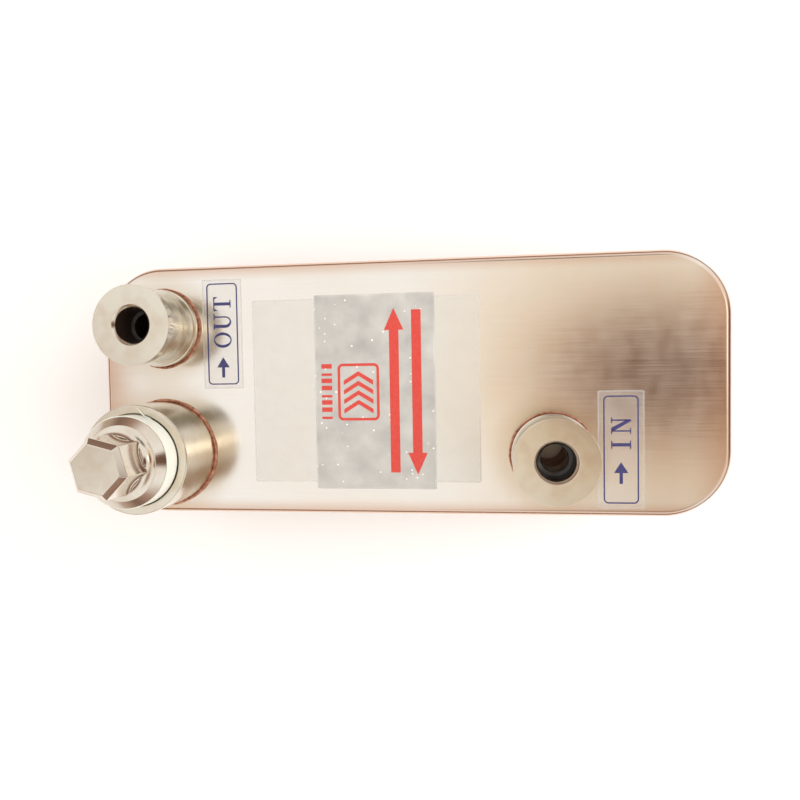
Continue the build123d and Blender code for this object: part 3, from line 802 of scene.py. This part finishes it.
def make_tape_tongue(azimuth=1.1, length=8.0, reach=3.2):
    """The frayed end: a strip that leaves the band, widens a little, and ends in a ragged point."""
    deselect()
    bpy.ops.mesh.primitive_grid_add(x_subdivisions=14, y_subdivisions=4, size=1)
    tongue = bpy.context.object
    tongue.name = "thread_seal_tape_tongue"
    draw = random.Random(8)
    for vertex in tongue.data.vertices:
        along, across = vertex.co.x + 0.5, vertex.co.y + 0.5
        angle = azimuth + along * length / 21
        radius = 20.9 + reach * along**2 + 0.25 * math.sin(9 * along)
        width = 2.6 * (1 - along**1.5) + 0.25
        height = SOCKET_TOP + 0.35 + width * across + 0.3 * math.sin(5 * along) ** 2 + draw.uniform(0, 0.12)
        place = (radius * math.cos(angle) * MM, radius * math.sin(angle) * MM)
        vertex.co = (PLUGGED[0] + place[0], PLUGGED[1] + place[1], FACE + height * MM)
    apply_modifier(tongue, "SOLIDIFY", thickness=0.1 * MM, offset=1)
    apply_modifier(tongue, "SUBSURF", levels=1, render_levels=1)
    smooth(tongue, 60)
    return tongue


tape_band = make_tape()
place_piece(tape_band, "plug", tape_white, "seal_tape", "thread_seal_tape")
place_piece(make_tape_tongue(), "plug", tape_white, "seal_tape")

# %% [markdown]
# ## Labels
# The two small labels and the rating label are films a tenth of a millimetre thick with rounded corners. The
# prints are flat shapes that stand a hair over the film. They are generic: a frame with an arrow and the
# words IN and OUT, and on the rating label a pair of counter-flow arrows, a plate symbol and a row of bars.

# %% Label films
INK = 0.02 * MM
FILM_GAP = 0.012 * MM  # keeps a film's underside clear of the face it lies on


def film_sheet(name, node, corner, lift=0.0):
    """A rounded film with the node's own outline and thickness."""
    low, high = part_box(node)
    deselect()
    bpy.ops.mesh.primitive_plane_add(size=1, location=((low.x + high.x) / 2, (low.y + high.y) / 2, high.z))
    film = bpy.context.object
    film.name = name
    film.scale = (high.x - low.x, high.y - low.y, 1)
    bpy.ops.object.transform_apply(location=True, rotation=True, scale=True)
    bpy.ops.object.mode_set(mode="EDIT")
    bpy.ops.mesh.select_all(action="SELECT")
    bpy.ops.mesh.bevel(offset=corner * MM, segments=4, affect="VERTICES")
    bpy.ops.object.mode_set(mode="OBJECT")
    apply_modifier(film, "SOLIDIFY", thickness=high.z - low.z - lift - FILM_GAP, offset=-1)
    apply_modifier(film, "BEVEL", width=0.03 * MM, segments=1, limit_method="ANGLE")
    return film


film_piece = film_sheet("backing_film_sheet", "backing_film", 1.0)
place_piece(film_piece, "exchanger", backing, "clear_film", "backing_film")
rating_piece = film_sheet("rating_label_sheet", "rating_label", 0.6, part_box("backing_film")[1].z - FACE)
place_piece(rating_piece, "exchanger", grey_film, "grey_film_label", "rating_label")
outlet_label = film_sheet("outlet_label_sheet", "outlet_label", 0.6)
place_piece(outlet_label, "exchanger", outlet_film, "paper_label", "outlet_label")
inlet_label = film_sheet("inlet_label_sheet", "inlet_label", 0.6)
place_piece(inlet_label, "exchanger", inlet_film, "paper_label", "inlet_label")

# %% [markdown]
# ### Prints
# A print is drawn as one outline of points and filled, then given a thickness of two hundredths of a
# millimetre. Shapes are laid out for a reader who has turned the unit a quarter turn, so the reading
# direction is +Y, and "up" on the label is -X.

# %% Prints


def print_shape(name, outlines, place, ink):
    """Flat closed outlines of (along, up) millimetres, read along +Y with up towards -X."""
    x, y, z = place
    vertices, faces = [], []
    for outline in outlines:
        area = sum(a * v - b * u for (a, u), (b, v) in zip(outline, outline[1:] + outline[:1]))
        if area < 0:
            outline = outline[::-1]
        first = len(vertices)
        vertices += [(x - up * MM, y + along * MM, z) for along, up in outline]
        faces.append(list(range(first, first + len(outline))))
    mesh = bpy.data.meshes.new(name)
    mesh.from_pydata(vertices, [], faces)
    shape = bpy.data.objects.new(name, mesh)
    bpy.context.collection.objects.link(shape)
    apply_modifier(shape, "SOLIDIFY", thickness=INK, offset=1)
    return place_piece(shape, "exchanger", ink, "paper_label" if ink is blue_ink else "grey_film_label")


def bar(left, bottom, right, top):
    """A rectangle outline."""
    return [(left, bottom), (right, bottom), (right, top), (left, top)]


def ring_quads(outer, inner):
    """The strip between two outlines with the same number of points."""
    count = len(outer)
    return [[outer[i], outer[(i + 1) % count], inner[(i + 1) % count], inner[i]] for i in range(count)]


def rounded(half_long, half_high, radius, steps=6):
    """A rounded rectangle about zero."""
    points = []
    for quarter, (sx, sy) in enumerate(((1, 1), (-1, 1), (-1, -1), (1, -1))):
        for i in range(steps + 1):
            angle = math.radians(90 * quarter + 90 * i / steps)
            along = sx * (half_long - radius) + radius * math.cos(angle)
            points.append((along, sy * (half_high - radius) + radius * math.sin(angle)))
    return points


def frame_print(half_long, half_high, radius, line):
    """A rounded frame of one line width."""
    inner = rounded(half_long - line, half_high - line, radius - line)
    return ring_quads(rounded(half_long, half_high, radius), inner)


def shifted(outlines, along, up=0.0):
    """Outlines moved along and up."""
    return [[(a + along, u + up) for a, u in outline] for outline in outlines]


# Serif capitals of a height of 1 and a thin stroke, from the bottom left corner.
SERIF = 0.055


def letter_i(width=0.42):
    """A stem between two serifs."""
    stem = 0.17
    left = (width - stem) / 2
    return [bar(0, 0, width, SERIF), bar(0, 1 - SERIF, width, 1), bar(left, SERIF, left + stem, 1 - SERIF)]


def letter_n(width=0.86):
    """Two thin stems and a heavy diagonal."""
    thin, heavy, foot = 0.075, 0.2, 0.3
    left = foot / 2 - thin / 2
    right = width - foot / 2 - thin / 2
    return [
        bar(0, 0, foot, SERIF), bar(0, 1 - SERIF, left, 1), bar(width - foot, 1 - SERIF, width, 1),
        bar(left, SERIF, left + thin, 1 - SERIF), bar(right, SERIF + 0.12, right + thin, 1 - SERIF),
        [(right + thin, 0), (right + thin, SERIF + 0.12), (left + heavy, 1), (left, 1), (left, 1 - SERIF),
         (right - 0.02, 0)],
    ]


def letter_t(width=0.78):
    """A stem under a bar with a drop at each end."""
    stem = 0.17
    left = (width - stem) / 2
    top = 1 - SERIF
    return [
        bar(0, top, width, 1), bar(left, SERIF, left + stem, top),
        bar(left - 0.12, 0, left + stem + 0.12, SERIF),
        [(0, 0.78), (0.035, 0.78), (0.12, top), (0, top)],
        [(width, 0.78), (width, top), (width - 0.12, top), (width - 0.035, 0.78)],
    ]


def letter_o(width=0.86, steps=28):
    """An oval ring, heavy at its sides."""
    outer, inner = [], []
    for i in range(steps):
        angle = math.tau * i / steps
        outer.append((width / 2 + width / 2 * math.cos(angle), 0.5 + 0.51 * math.sin(angle)))
        inner.append((width / 2 + (width / 2 - 0.16) * math.cos(angle), 0.5 + 0.45 * math.sin(angle)))
    return ring_quads(outer, inner)


def letter_u(width=0.86, steps=14):
    """A thick and a thin stem joined by a bowl."""
    thick, thin, foot, bowl = 0.17, 0.075, 0.34, 0.34
    left = foot / 2 - thick / 2
    right = width - foot / 2 + thin / 2
    shapes = [bar(0, 1 - SERIF, foot, 1), bar(width - foot, 1 - SERIF, width, 1)]
    shapes += [bar(left, bowl, left + thick, 1 - SERIF), bar(right - thin, bowl, right, 1 - SERIF)]
    middle, reach = (left + right) / 2, (right - left) / 2
    hole_middle = (left + thick + right - thin) / 2
    hole_reach = (right - thin - left - thick) / 2
    outer, inner = [], []
    for i in range(steps + 1):
        across, down = math.cos(math.pi * i / steps), math.sin(math.pi * i / steps)
        outer.append((middle - reach * across, bowl - (bowl + 0.01) * down))
        inner.append((hole_middle - hole_reach * across, bowl - (bowl - 0.07) * down))
    shapes += [[outer[i], outer[i + 1], inner[i + 1], inner[i]] for i in range(steps)]
    return shapes


def word(letters, height, gap):
    """Letters of (shape, width) side by side at a height in millimetres, starting at zero."""
    outlines, along = [], 0.0
    for shape, width in letters:
        outlines += [[((a + along) * height, u * height) for a, u in outline] for outline in shape]
        along += width + gap
    return outlines


def arrow(length, shaft, head, head_length):
    """An arrow along the reading direction, centred on its own line and starting at zero."""
    neck = length - head_length
    return [bar(0, -shaft / 2, neck, shaft / 2), [(neck, -head / 2), (length, 0), (neck, head / 2)]]


def middle_of(node):
    """The middle of a node's box and the height of its top."""
    low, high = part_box(node)
    return (low + high) / 2, high.z


LETTER = 8.9
outlet_middle, outlet_top = middle_of("outlet_label")
inlet_middle, inlet_top = middle_of("inlet_label")
out_word = word([(letter_o(), 0.86), (letter_u(), 0.86), (letter_t(), 0.78)], LETTER, 0.16)
in_word = word([(letter_i(), 0.42), (letter_n(), 0.86)], LETTER, 0.36)
for name, middle, top, letters, arrow_start, start in (
    ("outlet_print", outlet_middle, outlet_top, out_word, -21.5, -6.8),
    ("inlet_print", inlet_middle, inlet_top, in_word, -15.8, 0.4),
):
    shapes = frame_print(25.0, 7.9, 2.2, 0.6)
    shapes += shifted(arrow(10.0, 1.5, 6.4, 5.0), arrow_start)
    shapes += shifted(letters, start, -LETTER / 2)
    print_shape(name, shapes, (middle.x, middle.y, top), blue_ink)

rating_middle, rating_top = middle_of("rating_label")


def rating_print(name, outlines, up):
    """A red print on the rating label; up is from the label's middle towards -X."""
    return print_shape(name, outlines, (rating_middle.x - up * MM, rating_middle.y, rating_top), red_ink)


ARROW_LINE = 5.4  # each arrow's distance from the line midway between them
forward = shifted(arrow(79, 4.6, 9.4, 10.5), -39.0, ARROW_LINE)
backward = [[(-a, u - 2 * ARROW_LINE) for a, u in outline] for outline in forward]
rating_print("rating_counter_flow_print", forward + backward, -15.0)


def chevron(start, half_high, thickness, point):
    """One V stripe pointing along the reading direction."""
    end = start + thickness
    return [
        [(start, half_high), (end, half_high), (end + point, 0), (start + point, 0)],
        [(start + point, 0), (end + point, 0), (end, -half_high), (start, -half_high)],
    ]


plate_symbol = frame_print(13.8, 10.2, 2.6, 1.3)
for i in range(4):
    plate_symbol += chevron(-10.4 + 4.6 * i, 7.2, 2.2, 4.4)
rating_print("rating_plate_symbol_print", plate_symbol, 8.0)
bars = [bar(-13 + 3.5 * i, -2.6, -13 + 3.5 * i + (2.2 if i % 3 else 1.2), 2.6) for i in range(8)]
rating_print("rating_bars_print", bars, 23.6)

# %% [markdown]
# ## Floor and light
# A plain pale floor carries the unit. Light comes from the whole sky of a small studio: a white overhead
# dome, a warm dark patch a little right of overhead, which the satin cover mirrors softly, and a dimmer
# horizon that gives the turned sides their dark bands. One wide lamp adds soft direction.

# %% Floor and light
bpy.ops.mesh.primitive_plane_add(size=8, location=(0, 0, 0))
floor = bpy.context.object
floor.name = "studio_floor"
floor_paint, _, floor_shader = new_material("matt_white_floor")
floor_shader.inputs["Base Color"].default_value = linear("#FBFBFB")
floor_shader.inputs["Emission Color"].default_value = linear("#FFFFFF")
floor_shader.inputs["Emission Strength"].default_value = 0.12
floor_shader.inputs["Roughness"].default_value = 0.8
floor.data.materials.append(floor_paint)

WARM_CENTRE = Vector((0.19, -0.01, 0.98)).normalized()
SHADES = (  # direction, radius, soft edge and colour of what stands round the table
    (Vector((0.08, 0.42, 0.90)), 0.10, 0.14, linear("#857C68")),
    (Vector((0.20, -0.42, 0.88)), 0.10, 0.25, linear("#B0957A")),
    (Vector((0.86, 0.00, 0.51)), 0.15, 0.16, linear("#6E4C3A")),
    (Vector((-0.56, -0.04, 0.83)), 0.04, 0.14, linear("#DCD0C2")),
    (Vector((0.42, 0.05, 0.90)), 0.06, 0.06, (2.5, 2.4, 2.1, 1.0)),
)
world = bpy.data.worlds.new("studio_dome")
bpy.context.scene.world = world
world.use_nodes = True
sky = world.node_tree
direction = add(sky, "ShaderNodeTexCoord").outputs["Generated"]
offset = add(sky, "ShaderNodeVectorMath", {1: WARM_CENTRE}, {0: direction}, operation="SUBTRACT")
oval = add(sky, "ShaderNodeVectorMath", {1: (1, 1.5, 1)}, {0: offset.outputs[0]}, operation="MULTIPLY")
away = add(sky, "ShaderNodeVectorMath", links={0: oval.outputs[0]}, operation="LENGTH").outputs["Value"]
dome = ramp(
    sky,
    away,
    (0.0, linear("#4C2A1C")),
    (0.07, linear("#68432F")),
    (0.12, linear("#A67E66")),
    (0.17, linear("#E3C8A8")),
    (0.23, linear("#F8E6CC")),
    (0.36, linear("#FFFBF5")),
)
for centre, radius, edge, colour in SHADES:
    away = add(sky, "ShaderNodeVectorMath", {1: centre}, {0: direction}, operation="DISTANCE")
    clear = add(
        sky,
        "ShaderNodeMapRange",
        {"From Min": radius, "From Max": radius + edge},
        {"Value": away.outputs["Value"]},
        interpolation_type="SMOOTHSTEP",
    )
    dome = mix(sky, clear.outputs["Result"], colour, dome)
split = add(sky, "ShaderNodeSeparateXYZ", links={"Vector": direction})
height = add(
    sky, "ShaderNodeMath", {1: 0.1}, {0: split.outputs["X"], 2: split.outputs["Z"]}, operation="MULTIPLY_ADD"
).outputs[0]
horizon = ramp(
    sky,
    height,
    (0.0, linear("#C4B0A2")),
    (0.15, linear("#80665A")),
    (0.36, linear("#B4978A")),
    (0.52, linear("#FFFFFF")),
)
light_colour = mix(sky, 1.0, dome, horizon, "MULTIPLY")
seen = add(sky, "ShaderNodeLightPath").outputs["Is Camera Ray"]
shown_colour = mix(sky, seen, light_colour, linear("#F6F6F4"))
background = sky.nodes["Background"]
sky.links.new(shown_colour, background.inputs["Color"])
background.inputs["Strength"].default_value = 1.05

bpy.ops.object.light_add(type="AREA", location=(0.8, 0.1, 0.8))
lamp = bpy.context.object
lamp.name = "soft_lamp"
lamp.data.shape = "DISK"
lamp.data.size = 1.2
lamp.data.energy = 10
lamp.visible_glossy = False
lamp.rotation_euler = (Vector((0, 0, 0.05)) - lamp.location).to_track_quat("-Z", "Y").to_euler()
bpy.context.scene.view_settings.view_transform = "Standard"
